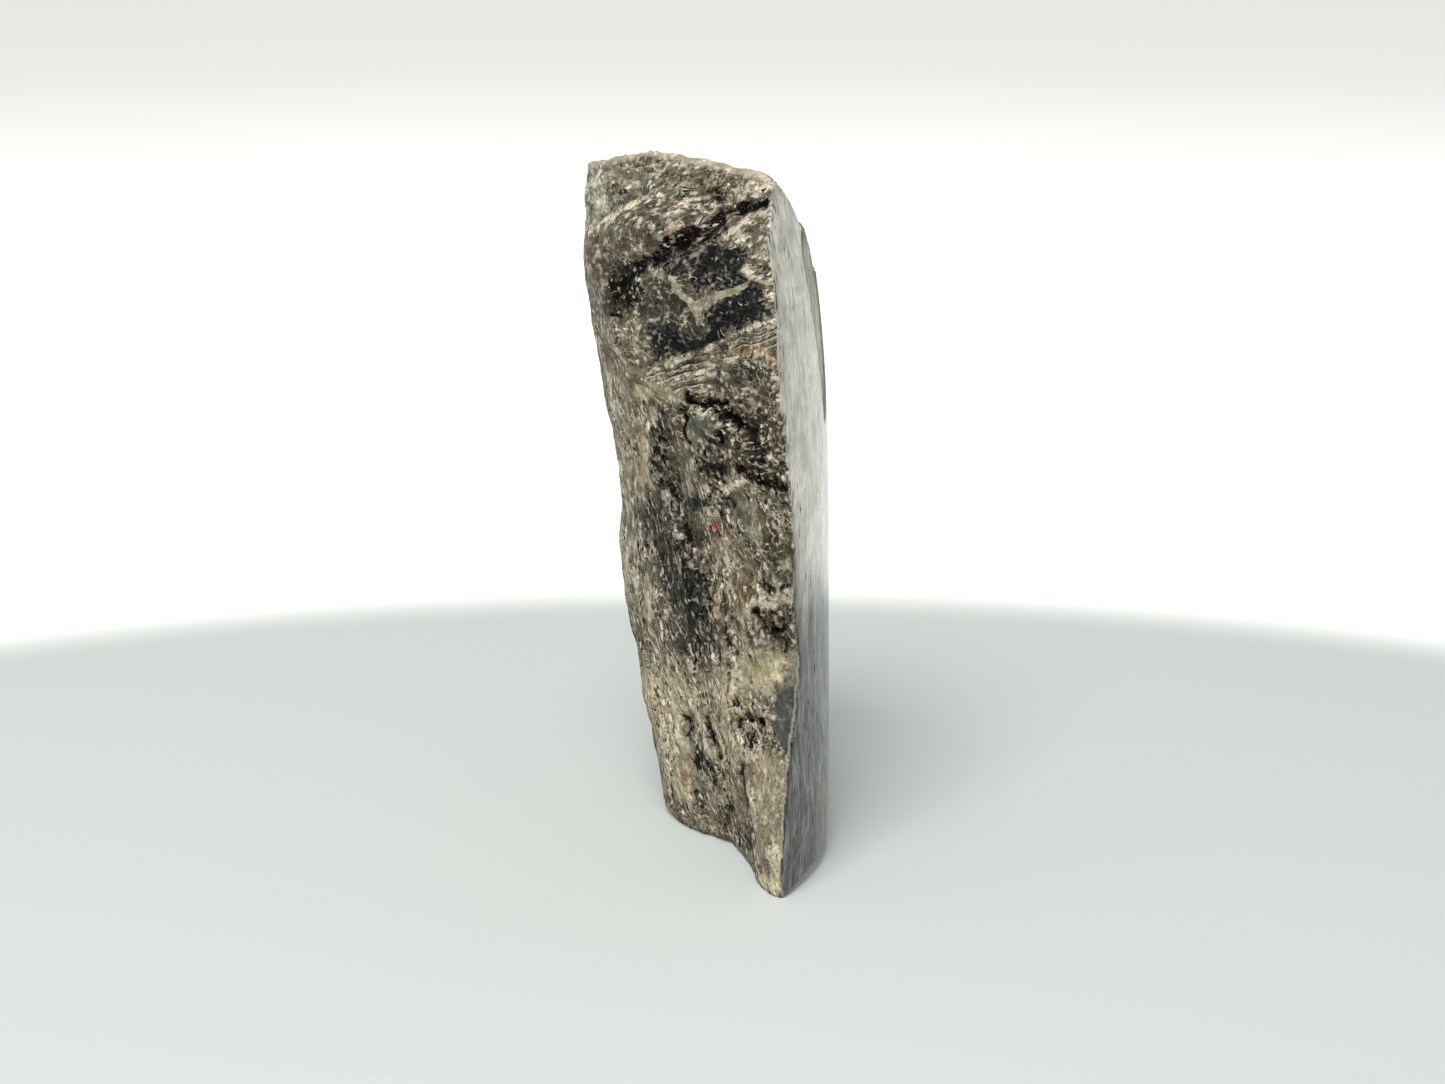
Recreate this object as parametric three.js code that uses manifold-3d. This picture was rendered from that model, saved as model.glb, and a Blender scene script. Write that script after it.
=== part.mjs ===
// A labradorite freeform: a rough chunk of feldspar rock, ground and polished on one side.
// Millimetres, +Z up. The stone stands on its flat sawn base. Its polished dome faces +X, its
// narrow toe points towards -Y and the broken natural faces look towards -X, -Y and +Y.
//
// The outside is lofted from upright guide lines, in order round the stone: the near rim of the
// polish, the far rim of the polish, then the back, the left flank and the broken front.
// Between the two rims every point lies on the dome. Elsewhere the loft gets ledges and lumps.
// A flake and a few cleavage breaks are then cut off with flat-sided solids.

import * as THREE from "three";
import Module from "manifold-3d";
import { mergeVertices } from "three/addons/utils/BufferGeometryUtils.js";

const wasm = await Module();
wasm.setup();

// ---- driving dimensions -------------------------------------------------------------------

// The guide lines are drawn from the toe's tip; this puts the origin under the stone's middle.
const ORIGIN_X = -2.44;
const ORIGIN_Y = 32.04;

// The polished dome: x of its crest line, which bows in towards the top and the base.
const CREST_X = 18.3;
const CREST_Z = 36;
const CREST_BOW = 3.086e-4;
const CREST_BOW_ENDS = 1.298e-7;
// The crest line runs upright at CREST_Y and swings forward over the toe.
const CREST_Y = 40;
const CREST_SWING = 18;
const TOE_REACH = 28;
// Radii of the dome: in front of its crest, tighter over the toe, and behind its crest.
const NEAR_RADIUS = 80;
const NEAR_RADIUS_TIGHTER = 49;
const FAR_RADIUS = 75;

// Mesh fineness: rows up the sides, and rings across the crown and the base.
const SIDE_ROWS = 52;
const CROWN_RINGS = 6;
const POLISH_COLUMNS = 12;
// How far in each of the base's rings lies, as a share of the way to its middle.
const BASE_RINGS = [0.13, 0.4, 0.7, 1];

// Natural relief: lumps, and cleavage steps that repeat down the stone.
const LUMP_HEIGHT = 1.1;
const LUMP_SIZE = 17;
const KNOB_HEIGHT = 0.7;
const KNOB_SIZE = 8.5;
const STEP_HEIGHT = 0.7;
const STEP_SPACING = 9.5;
const LEDGE_WIDTH = 1.9;

// The crown falls away to the right and to the back: its rise per millimetre of x and of y.
const CROWN_TILT = [-0.3, -0.6];
const CROWN_SWELL = 1.2;

// ---- the polished dome --------------------------------------------------------------------

const overToe = (z) => Math.exp(-((z / TOE_REACH) ** 2));

function domeX(y, z) {
  const up = z - CREST_Z;
  const crestX = CREST_X - CREST_BOW * up ** 2 - CREST_BOW_ENDS * up ** 4;
  const fromCrest = y - (CREST_Y - CREST_SWING * overToe(z));
  const radius = fromCrest < 0 ? NEAR_RADIUS - NEAR_RADIUS_TIGHTER * overToe(z) : FAR_RADIUS;
  return crestX - fromCrest ** 2 / (2 * radius);
}

// ---- guide lines, each from the base up ---------------------------------------------------

// The polish's two rims are [y, z]; their x is on the dome.
const NEAR_RIM = [
  [-0.4, 0], [-0.9, 6], [-0.5, 12], [0.4, 17], [1.5, 22], [3.4, 26], [5.4, 30], [7.6, 35], [8.0, 39],
  [7.5, 43], [6.5, 50], [7.3, 56], [6.9, 61], [5.8, 67], [5.2, 74], [4.2, 81], [4.8, 89], [5.9, 95],
  [7.0, 101], [7.2, 105], [9.2, 109], [12.4, 111.6], [16.4, 114.2],
];
const FAR_RIM = [
  [44, 2.5], [51, 9], [55.5, 17], [58.5, 27], [60.5, 40], [61, 52], [59.5, 63], [56, 73], [51.5, 81],
  [47, 87],
];
// Lower and upper ends of the columns between the rims, [y, z].
const POLISH_FOOT = [[-0.4, 0], [4, 1.4], [9, 2.6], [15, 3], [22, 2.2], [34, 1.4], [44, 2.5]];
const POLISH_TOP = [
  [16.4, 114.2], [19, 112.4], [21.2, 110.6], [23.6, 108], [25.2, 104.8], [31, 104.2], [34.4, 101],
  [36.5, 97.6], [40, 94], [47, 87],
];

// The broken sides' guide lines are [x, y, z].
const BACK = [
  [4, 52, 1.5], [3, 57, 8], [3, 61, 20], [1, 64, 36], [-1, 64.5, 54], [-3, 62.5, 72], [-4, 59, 86],
  [-4, 55, 97],
];
const BACK_LEFT = [
  [-8, 49, 1], [-10.5, 52, 12], [-12, 54, 26], [-14.5, 55, 42], [-16, 56, 60], [-18.5, 55, 80],
  [-18.5, 52.5, 96], [-16.5, 49, 107],
];
const LEFT_FLANK = [
  [-10.2, 35, 1.5], [-10.6, 36, 5], [-11.7, 37, 9], [-12.3, 37.5, 14.5], [-13.8, 38, 20], [-14.6, 38, 27.5],
  [-15.9, 38, 35], [-17, 38, 42], [-17.7, 38, 49], [-17.2, 38, 55], [-17.7, 38, 60], [-18.6, 38, 67],
  [-19.6, 38, 74], [-20.7, 38, 81], [-21.7, 37.5, 87.7], [-22.5, 37, 94.5], [-23, 36, 101],
  [-22.2, 36, 104.2], [-22.3, 36, 107], [-22.5, 36, 110], [-21.6, 36.5, 113.8],
];
const LEFT_FRONT = [
  [-5.5, 27, 1.8], [-6, 25.5, 8], [-7, 24.5, 16], [-7.6, 23.5, 26], [-8.6, 23, 36], [-9.6, 22.5, 48],
  [-10.8, 22.5, 60], [-12, 22, 72], [-13, 21, 84], [-13.6, 19.5, 94], [-13.4, 18.6, 101], [-12.6, 20, 107],
  [-12.4, 24, 112], [-11.2, 27, 117.2],
];
const FRONT = [
  [1.5, 21.5, 1.2], [1.2, 18.5, 8], [0.6, 15.5, 16], [0.4, 12.8, 25], [1.2, 11.6, 34], [0.8, 12, 46],
  [0.2, 13.2, 58], [-0.8, 13, 70], [-1.6, 12, 82], [-2.4, 11.6, 92], [-2.6, 12.4, 100], [-2, 15, 106],
  [-1.6, 19, 111], [-1.2, 21.6, 116],
];
const TOE_LEFT = [
  [5.2, 9.5, 0.6], [4.7, 9.2, 6], [3.8, 8.4, 14], [3.4, 8.2, 20], [4, 8.6, 27], [6, 8.8, 36], [5.8, 8.6, 50],
  [5.6, 8.9, 62], [4.6, 8.4, 76], [3.8, 8, 90], [3.4, 8.8, 100], [3.4, 10.6, 106], [3.6, 14.6, 110.4],
  [3.8, 18.6, 115.2],
];

// ---- small helpers ------------------------------------------------------------------------

const mix = (a, b, t) => a + (b - a) * t;
const clamp01 = (t) => Math.min(1, Math.max(0, t));
const ease = (t) => clamp01(t) ** 2 * (3 - 2 * clamp01(t));

// The point of a guide line a share t of the way up it, by height.
function upGuide(line, t) {
  const zAt = line[0].length - 1;
  const z = mix(line[0][zAt], line[line.length - 1][zAt], t);
  let i = 0;
  while (i < line.length - 2 && line[i + 1][zAt] < z) i++;
  const share = clamp01((z - line[i][zAt]) / (line[i + 1][zAt] - line[i][zAt]));
  return line[i].map((value, axis) => mix(value, line[i + 1][axis], share));
}

// The point a share t of the way along an open line, by length.
function alongLine(line, t) {
  const curve = new THREE.CurvePath();
  for (let i = 0; i + 1 < line.length; i++) {
    curve.add(new THREE.LineCurve(new THREE.Vector2(...line[i]), new THREE.Vector2(...line[i + 1])));
  }
  return curve.getPointAt(clamp01(t)).toArray();
}

// Repeatable noise from -1 to 1, smooth over one unit.
function cornerValue(i, j, k) {
  const s = Math.sin(i * 127.1 + j * 311.7 + k * 74.7) * 43758.5453;
  return 2 * (s - Math.floor(s)) - 1;
}

function noise(x, y, z) {
  const [i, j, k] = [Math.floor(x), Math.floor(y), Math.floor(z)];
  const [u, v, w] = [ease(x - i), ease(y - j), ease(z - k)];
  const edge = (dj, dk) => mix(cornerValue(i, j + dj, k + dk), cornerValue(i + 1, j + dj, k + dk), u);
  return mix(mix(edge(0, 0), edge(1, 0), v), mix(edge(0, 1), edge(1, 1), v), w);
}

// ---- relief of the broken faces -----------------------------------------------------------

// Ledge lines on the broken front, [x, z] from left to right: the rock above each line is set
// back by the ledge's depth, and comes forward again over its reach.
const LEDGES = [
  {
    depth: 1.5,
    reach: 9,
    line: [[-24, 101], [-17, 105.6], [-12.5, 108.2], [-9, 108.2], [-4, 105.2], [1, 108], [9, 111]],
  },
  {
    depth: 1.3,
    reach: 8,
    line: [[-22, 93.5], [-16, 96.5], [-9, 99.5], [-4, 102.5], [1, 106.6], [9, 108]],
  },
  { depth: 0.9, reach: 7, line: [[-20, 79], [-14, 80.5], [-6, 83], [1, 86.5], [9, 89.5]] },
  { depth: 1.1, reach: 10, line: [[-16, 62], [-10, 76], [-7, 78.5], [-2, 79], [3, 74], [9, 68]] },
  { depth: 1.2, reach: 9, line: [[-11, 60], [-6, 52], [-1.4, 45], [0.5, 38], [3.4, 28]] },
  { depth: 0.9, reach: 6, line: [[-16, 24], [-9, 20], [-4, 18], [0, 20]] },
];

// How far the point lies above a ledge line, square to it.
function heightAbove(line, x, z) {
  let i = 0;
  while (i < line.length - 2 && line[i + 1][0] < x) i++;
  const slope = (line[i + 1][1] - line[i][1]) / (line[i + 1][0] - line[i][0]);
  return (z - line[i][1] - slope * (x - line[i][0])) / Math.hypot(1, slope);
}

function ledgeRelief(x, y, z) {
  let inward = 0;
  for (const { depth, reach, line } of LEDGES) {
    const ends = ease((x - line[0][0]) / 3) * ease((line[line.length - 1][0] - x) / 3);
    const above = heightAbove(line, x, z);
    inward += depth * ends * ease(above / LEDGE_WIDTH) * (1 - ease((above - LEDGE_WIDTH) / reach));
  }
  const frontOnly = 1 - ease((y - 34) / 8);
  return -inward * frontOnly;
}

// Steps along the cleavage, which dips down to the right and runs more upright near the base.
function cleavageRelief(x, y, z) {
  const across = z * 0.34 + x * 0.8 - y * 0.35 + 2.4 * noise(x / 17, y / 17, z / 30);
  const phase = across / STEP_SPACING;
  const rise = phase - Math.floor(phase);
  return STEP_HEIGHT * (ease(rise / 0.62) * (1 - ease((rise - 0.62) / 0.38)) - 0.5);
}

// The left flank's guide line already has its own ledges, so the relief dies down along it.
const alongLeftFlank = (x, y) => Math.exp(-(((y - 37) / 5.5) ** 2)) * ease((-6 - x) / 4);

function relief(x, y, z) {
  const strength = 1 - 0.85 * alongLeftFlank(x, y);
  return strength * (
    LUMP_HEIGHT * noise(x / LUMP_SIZE + 7.3, y / LUMP_SIZE + 1.9, z / LUMP_SIZE + 4.4) +
    KNOB_HEIGHT * noise(x / KNOB_SIZE, y / KNOB_SIZE, z / (1.5 * KNOB_SIZE)) +
    cleavageRelief(x, y, z) +
    ledgeRelief(x, y, z)
  );
}

// ---- the loft -----------------------------------------------------------------------------

const onDome = ([y, z]) => [domeX(y, z), y, z];

// The polish is a patch filled in from its two rims, its foot and its top.
function polishPoint(along, up) {
  const [near, far] = [upGuide(NEAR_RIM, up), upGuide(FAR_RIM, up)];
  const [foot, top] = [alongLine(POLISH_FOOT, along), alongLine(POLISH_TOP, along)];
  const corners = [NEAR_RIM[0], FAR_RIM[0], NEAR_RIM.at(-1), FAR_RIM.at(-1)];
  const fill = (axis) =>
    mix(near[axis], far[axis], along) +
    mix(foot[axis], top[axis], up) -
    mix(mix(corners[0][axis], corners[1][axis], along), mix(corners[2][axis], corners[3][axis], along), up);
  return onDome([fill(0), fill(1)]);
}

// Columns round the stone. Each broken span runs from one guide line to the next, and bulges.
const guide = (line) => (t) => upGuide(line, t);
const nearRim = (t) => onDome(upGuide(NEAR_RIM, t));
const farRim = (t) => onDome(upGuide(FAR_RIM, t));
const BROKEN_SPANS = [
  { from: farRim, to: guide(BACK), columns: 8, bulge: 1.5 },
  { from: guide(BACK), to: guide(BACK_LEFT), columns: 7, bulge: 1.5 },
  { from: guide(BACK_LEFT), to: guide(LEFT_FLANK), columns: 8, bulge: 0.8 },
  { from: guide(LEFT_FLANK), to: guide(LEFT_FRONT), columns: 10, bulge: 1 },
  { from: guide(LEFT_FRONT), to: guide(FRONT), columns: 9, bulge: 0.3 },
  { from: guide(FRONT), to: guide(TOE_LEFT), columns: 5, bulge: 0 },
  { from: guide(TOE_LEFT), to: nearRim, columns: 6, bulge: 0, toeBulge: 1.4 },
];
// The relief fades out over this many columns next to the polish.
const FADE_COLUMNS = 2.5;

// The point a share of the way round a span, at height share t.
function spanPoint({ from, to, bulge, toeBulge = 0 }, share, t) {
  const [a, b] = [from(t), to(t)];
  const [x, y, z] = a.map((value, axis) => mix(value, b[axis], share));
  const outward = new THREE.Vector2(b[1] - a[1], a[0] - b[0]).normalize();
  const swell = (bulge + toeBulge * overToe(1.4 * z)) * 4 * share * (1 - share);
  return [x + outward.x * swell, y + outward.y * swell, z];
}

function plainColumns() {
  const columns = [];
  for (let i = 0; i < POLISH_COLUMNS; i++) {
    columns.push({ at: (t) => polishPoint(i / POLISH_COLUMNS, t), broken: 0 });
  }
  for (const span of BROKEN_SPANS) {
    for (let i = 0; i < span.columns; i++) {
      let fromPolish = span.columns;
      if (span.from === farRim) fromPolish = i;
      if (span.to === nearRim) fromPolish = span.columns - i;
      const at = (t) => spanPoint(span, i / span.columns, t);
      columns.push({ at, broken: ease(fromPolish / FADE_COLUMNS) });
    }
  }
  return columns;
}

// Vertices of the side wall, row by row from the base, with the relief pushed out level.
function sideRows(columns) {
  const rows = [];
  for (let r = 0; r <= SIDE_ROWS; r++) {
    const plain = columns.map((column) => column.at(r / SIDE_ROWS));
    const fromEnds = Math.min(r, SIDE_ROWS - r);
    rows.push(
      plain.map((point, c) => {
        const before = plain[(c + plain.length - 1) % plain.length];
        const after = plain[(c + 1) % plain.length];
        const outward = new THREE.Vector2(after[1] - before[1], before[0] - after[0]).normalize();
        const height = relief(...point) * columns[c].broken * mix(0.45, 1, ease(fromEnds / 3));
        return [point[0] + outward.x * height, point[1] + outward.y * height, point[2]];
      }),
    );
  }
  return rows;
}

const middleOf = (rim) =>
  rim.reduce((sum, point) => sum.map((value, axis) => value + point[axis] / rim.length), [0, 0, 0]);

// The crown's rings close in on its middle, settle onto its slope and carry on the relief, upwards.
function crownRings(rim) {
  const middle = middleOf(rim);
  const rings = [];
  for (let r = 1; r <= CROWN_RINGS; r++) {
    const share = r / CROWN_RINGS;
    rings.push(
      rim.map((point) => {
        const [x, y, z] = point.map((value, axis) => mix(value, middle[axis], share));
        const fall = CROWN_TILT[0] * (x - middle[0]) + CROWN_TILT[1] * (y - middle[1]);
        const onSlope = middle[2] + CROWN_SWELL + fall + 0.8 * relief(x, y, middle[2]);
        return [x, y, mix(z, onSlope, ease(share * 1.6))];
      }),
    );
  }
  return rings;
}

// The base's rings first step down to z = 0 and then run level, as sawn.
function baseRings(rim) {
  const middle = middleOf(rim);
  return BASE_RINGS.map((share) =>
    rim.map(([x, y]) => [mix(x, middle[0], share), mix(y, middle[1], share), 0]),
  );
}

// Each quad between two rows is split along its shorter diagonal.
function loft() {
  const sides = sideRows(plainColumns());
  const rows = [...baseRings(sides[0]).reverse(), ...sides, ...crownRings(sides.at(-1))];
  const around = rows[0].length;
  const points = rows.flat().map((point) => new THREE.Vector3(...point));
  const gap = (i, j) => points[i].distanceTo(points[j]);
  const index = [];
  for (let r = 0; r + 1 < rows.length; r++) {
    for (let c = 0; c < around; c++) {
      const next = (c + 1) % around;
      const [a, b] = [r * around + c, r * around + next];
      const [d, e] = [b + around, a + around];
      if (r === 0) index.push(a, d, e);
      else if (r + 2 === rows.length) index.push(a, b, d);
      else if (gap(a, d) < gap(b, e)) index.push(a, b, d, a, d, e);
      else index.push(a, b, e, b, d, e);
    }
  }
  const geometry = new THREE.BufferGeometry();
  geometry.setAttribute("position", new THREE.Float32BufferAttribute(rows.flat(2), 3));
  geometry.setIndex(index);
  return mergeVertices(geometry, 1e-5);
}

// ---- breaks cut off with flat-sided solids ------------------------------------------------

// A shallow flake split off the top of the polish, beyond a groove that wanders down it, [y, z].
const FLAKE_OUTLINE = [
  [20, 113], [23.6, 108.1], [24.5, 105.9], [22.4, 100.7], [22.7, 95.8], [24.5, 88.9], [25.6, 85.3],
  [27.1, 78.4], [28.6, 68], [40, 60], [60, 60], [60, 120], [20, 120],
];
// The flake's floor is the plane through x = FLAKE_X at FLAKE_MIDDLE, rising with y and z.
const FLAKE_X = 14.35;
const FLAKE_MIDDLE = [26, 90];
const FLAKE_RISE_Y = 0.135;
const FLAKE_RISE_Z = -0.118;

// Flat cleavage breaks: a point on each and the way it faces.
const FLAT_BREAKS = [
  { name: "tip of the toe", at: [9.2, -0.2, 2], facing: [-0.12, -0.95, -0.3] },
  { name: "back of the crown", at: [-8, 54, 93.8], facing: [0.1, 0.83, 0.55] },
  { name: "upper back edge", at: [-17.5, 53, 78], facing: [-0.8, 0.6, 0.1] },
  { name: "lower back edge", at: [-10, 51.5, 17.3], facing: [-0.6, 0.75, -0.25] },
];
const CUTTER_SIZE = 90;

function toSolid(geometry) {
  const bare = geometry.index ? geometry.clone() : geometry;
  bare.deleteAttribute("normal");
  bare.deleteAttribute("uv");
  const welded = mergeVertices(bare, 1e-4);
  return new wasm.Manifold(
    new wasm.Mesh({
      numProp: 3,
      vertProperties: new Float32Array(welded.attributes.position.array),
      triVerts: new Uint32Array(welded.index.array),
    }),
  );
}

function toGeometry(solid) {
  const { vertProperties, triVerts } = solid.getMesh();
  const geometry = new THREE.BufferGeometry();
  geometry.setAttribute("position", new THREE.BufferAttribute(vertProperties, 3));
  geometry.setIndex(new THREE.BufferAttribute(triVerts, 1));
  return geometry;
}

function flakeCutter() {
  const outline = new THREE.Shape(
    FLAKE_OUTLINE.map(([y, z]) => new THREE.Vector2(y - FLAKE_MIDDLE[0], z - FLAKE_MIDDLE[1])),
  );
  const geometry = new THREE.ExtrudeGeometry(outline, { depth: 12, bevelEnabled: false });
  const lay = new THREE.Matrix4().makeBasis(
    new THREE.Vector3(FLAKE_RISE_Y, 1, 0),
    new THREE.Vector3(FLAKE_RISE_Z, 0, 1),
    new THREE.Vector3(1, 0, 0),
  );
  return geometry.applyMatrix4(lay.setPosition(FLAKE_X, ...FLAKE_MIDDLE));
}

function flatCutter({ at, facing }) {
  const outward = new THREE.Vector3(...facing).normalize();
  const turn = new THREE.Quaternion().setFromUnitVectors(new THREE.Vector3(0, 0, 1), outward);
  return new THREE.BoxGeometry(CUTTER_SIZE, CUTTER_SIZE, CUTTER_SIZE)
    .translate(0, 0, CUTTER_SIZE / 2)
    .applyQuaternion(turn)
    .translate(...at);
}

function breakOff(geometry) {
  const cutters = [flakeCutter(), ...FLAT_BREAKS.map(flatCutter)];
  const broken = cutters.reduce((solid, cutter) => solid.subtract(toSolid(cutter)), toSolid(geometry));
  return toGeometry(broken);
}

// ---- the stone ----------------------------------------------------------------------------

const stone = breakOff(loft()).translate(-ORIGIN_X, -ORIGIN_Y, 0);
const rock = new THREE.MeshStandardMaterial({ color: 0x77756c, roughness: 0.6, metalness: 0 });
const mesh = new THREE.Mesh(stone, rock);
mesh.name = "stone";

const labradorite = new THREE.Group();
labradorite.add(mesh);

export default labradorite;
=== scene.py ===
"""A labradorite freeform: broken rock on most sides, one side ground and polished to a dome."""

import math

import bmesh
import bpy
import numpy as np
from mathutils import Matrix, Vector, kdtree, noise


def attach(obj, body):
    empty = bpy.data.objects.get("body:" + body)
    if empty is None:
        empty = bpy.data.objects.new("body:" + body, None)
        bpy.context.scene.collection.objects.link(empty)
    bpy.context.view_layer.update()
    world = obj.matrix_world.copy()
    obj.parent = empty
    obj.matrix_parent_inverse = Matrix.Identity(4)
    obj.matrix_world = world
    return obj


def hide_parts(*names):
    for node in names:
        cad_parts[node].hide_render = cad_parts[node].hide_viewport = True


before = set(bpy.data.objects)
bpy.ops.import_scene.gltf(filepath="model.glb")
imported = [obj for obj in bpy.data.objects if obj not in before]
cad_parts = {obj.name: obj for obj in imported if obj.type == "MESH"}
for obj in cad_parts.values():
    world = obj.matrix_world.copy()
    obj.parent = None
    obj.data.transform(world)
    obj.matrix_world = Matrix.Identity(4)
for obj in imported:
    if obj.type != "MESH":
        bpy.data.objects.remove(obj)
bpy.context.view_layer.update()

MM = 0.001

# ---- the stone's own lines, in millimetres, as its solid has them --------------------------

# The guide lines are drawn from the tip of the toe.
TOE_TIP = np.array([-2.44, 32.04, 0.0])

# The polished dome: x of its crest line, and its radii before and behind the crest.
CREST_X, CREST_Z = 18.3, 36.0
CREST_BOW, CREST_BOW_ENDS = 3.086e-4, 1.298e-7
CREST_Y, CREST_SWING, TOE_REACH = 40.0, 18.0, 28.0
NEAR_RADIUS, NEAR_RADIUS_TIGHTER, FAR_RADIUS = 80.0, 49.0, 75.0

# A polished vertex lies this close to the dome, faces right, and is clear of the foot.
DOME_REACH, POLISH_FACING, POLISH_FOOT = 0.32, 0.45, 0.7

# The flake on the polish: how deep it is, how much it faces right, and its lowest z and y.
FLAKE_DEPTHS, FLAKE_FACING = (0.05, 1.4), 0.9
FLAKE_FOOT, FLAKE_FRONT = 66, 21.5

# Everything below this z is part of the flat foot.
FOOT_TOP = 0.35

# The camera stands in front of the stone and looks down on it.
VIEW_WIDTH, VIEW_HEIGHT = 1445, 1084
FOCAL = 2400.0  # in units of the view
SENSOR = 36.0
EYE = np.array([0.0, -355.73, 169.375])
LOOK_DOWN = math.radians(17.0)

# The rock's fibres run level in its upper part and steeply in its lower part.
FIBRES_HIGH = Vector((1, 0.1, 0.25)).normalized()
FIBRES_LOW = Vector((0.33, -0.05, -1)).normalized()
UPPER_PART, UPPER_PART_LEAN = (62, 84), 0.6

# The seams rise to the right, and the sheets between them are this far apart.
ACROSS_SEAMS = Vector((-0.4, 0, 0.92))
SEAM_GAP = 1.0

# ---- the mesh and its relief, in millimetres -----------------------------------------------

VOXEL = 0.5

# The smoothing shrinks and swells the stone in turn. It fades out beside the worked face and the
# foot, between these distances, and so does the relief.
SHRINK_AND_SWELL, SMOOTHING_ROUNDS = (0.6, -0.62), 8
LOOSE_FROM_FACE, LOOSE_FROM_FOOT = (0.6, 2.5), (0.3, 2.0)
RELIEF_FROM_FACE, RELIEF_FROM_FOOT = (0.0, 1.4), (0.2, 1.6)

# Each kind of relief: its size along the stone, and its height or its lean.
LUMP_SIZE, LUMP_HEIGHT = 7.0, 0.4
TERRACE_SIZE_LOW, TERRACE_SIZE_HIGH, TERRACE_HEIGHT, TERRACE_COUNT = 4.0, 4.5, 0.8, 4
CHIP_SIZE, CHIP_LEAN = 3.0, 1.5
SMALL_CHIP_SIZE, SMALL_CHIP_LEAN = 1.6, 0.9
GRAIN_SIZE, GRAIN_HEIGHT = 1.2, 0.16
FURROW_SIZE, FURROW_HEIGHT, FURROW_HEIGHT_MORE = 2.6, 0.6, 1.6
DEEPER_FURROWS = 50, 28

# The crown keeps its height through the smoothing.
CROWN_RISE = 0.5

# The chips lean at random. The seed, which isn't 0, makes them lean the same way in every run, and
# the spread makes neighbours lean differently.
SEED, LEAN_SPREAD = 1, 3.7


def linear(red, green, blue):
    """A display colour, 0 to 255, as scene-linear values."""
    c = np.array([red, green, blue]) / 255
    return np.where(c <= 0.04045, c / 12.92, ((c + 0.055) / 1.055) ** 2.4)


def rgba(colour):
    return (*[float(v) for v in colour], 1.0)


def smoothstep(low, high, value):
    t = np.clip((value - low) / (high - low), 0, 1)
    return t * t * (3 - 2 * t)


def mix(a, b, share):
    return a + (b - a) * share


def dome_x(y, z):
    """x of the polished dome at y and z, in guide-line millimetres."""
    over_toe = np.exp(-((z / TOE_REACH) ** 2))
    up = z - CREST_Z
    crest = CREST_X - CREST_BOW * up**2 - CREST_BOW_ENDS * up**4
    from_crest = y - (CREST_Y - CREST_SWING * over_toe)
    radius = np.where(from_crest < 0, NEAR_RADIUS - NEAR_RADIUS_TIGHTER * over_toe, FAR_RADIUS)
    return crest - from_crest**2 / (2 * radius)


def front_view(points):
    """Where guide-line points lie in the camera's view: across and down, in units of the view."""
    q = points - EYE
    depth = q[:, 1] * math.cos(LOOK_DOWN) - q[:, 2] * math.sin(LOOK_DOWN)
    up = q[:, 1] * math.sin(LOOK_DOWN) + q[:, 2] * math.cos(LOOK_DOWN)
    across = VIEW_WIDTH / 2 + FOCAL * q[:, 0] / depth
    return np.stack([across, VIEW_HEIGHT / 2 - FOCAL * up / depth], axis=1)


# ---- noise over points ---------------------------------------------------------------------
# A number added to the points moves them to another part of the noise, for a pattern of its own.

noise.seed_set(SEED)


def stretched(points, direction, amount):
    """Points squeezed along a direction, so that noise read there runs along it."""
    d = np.array(direction)
    along = points @ d
    return points - np.outer(along * (1 - 1 / amount), d)


def over(points, size, make):
    """What make() gives at each point, where the size counts as 1."""
    return np.array([make(Vector(p)) for p in points / size])


def soft_noise(points, size, octaves=3):
    """Cloudy noise around 0."""
    return over(points, size, lambda p: noise.fractal(p, 0.9, 2.1, octaves))


def facets(points, size):
    """Small flat chips: every cell of a Voronoi pattern leans its own way."""

    def lean(p):
        _, centres = noise.voronoi(p)
        own_centre = centres[0]
        return (p - own_centre).dot(noise.noise_vector(own_centre * LEAN_SPREAD))

    return over(points, size, lean)


def furrows(points, size):
    """Sharp crests with rounded furrows between them."""
    return 0.3 - np.abs(soft_noise(points, size, 2))


def terraces(slope, count):
    """Turns a slope into terraces: each leans gently one way and breaks off steeply the other."""
    scaled = slope * count
    tread = scaled - np.floor(scaled)
    return smoothstep(0.8, 1.0, tread) - tread


# ---- the stone's mesh ----------------------------------------------------------------------


def even_copy():
    """A closed, evenly meshed copy of the CAD stone."""
    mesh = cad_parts["stone"].data.copy()
    bm = bmesh.new()
    bm.from_mesh(mesh)
    bmesh.ops.remove_doubles(bm, verts=bm.verts, dist=0.002 * MM)
    bm.to_mesh(mesh)
    bm.free()
    block = bpy.data.objects.new("block", mesh)
    bpy.context.collection.objects.link(block)
    remesh = block.modifiers.new("even", "REMESH")
    remesh.mode = "VOXEL"
    remesh.voxel_size = VOXEL * MM
    evaluated = block.evaluated_get(bpy.context.evaluated_depsgraph_get())
    even = bpy.data.meshes.new_from_object(evaluated)
    bpy.data.objects.remove(block)
    return even


def coordinates(mesh):
    """The vertices, in guide-line millimetres."""
    flat = np.empty(len(mesh.vertices) * 3, dtype=np.float32)
    mesh.vertices.foreach_get("co", flat)
    return flat.reshape(-1, 3).astype(float) / MM + TOE_TIP


def normals(mesh):
    flat = np.empty(len(mesh.vertices) * 3, dtype=np.float32)
    mesh.vertex_normals.foreach_get("vector", flat)
    return flat.reshape(-1, 3).astype(float)


def place(mesh, points):
    """Moves the vertices to these guide-line points."""
    mesh.vertices.foreach_set("co", ((points - TOE_TIP) * MM).astype(np.float32).ravel())
    mesh.update()


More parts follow.
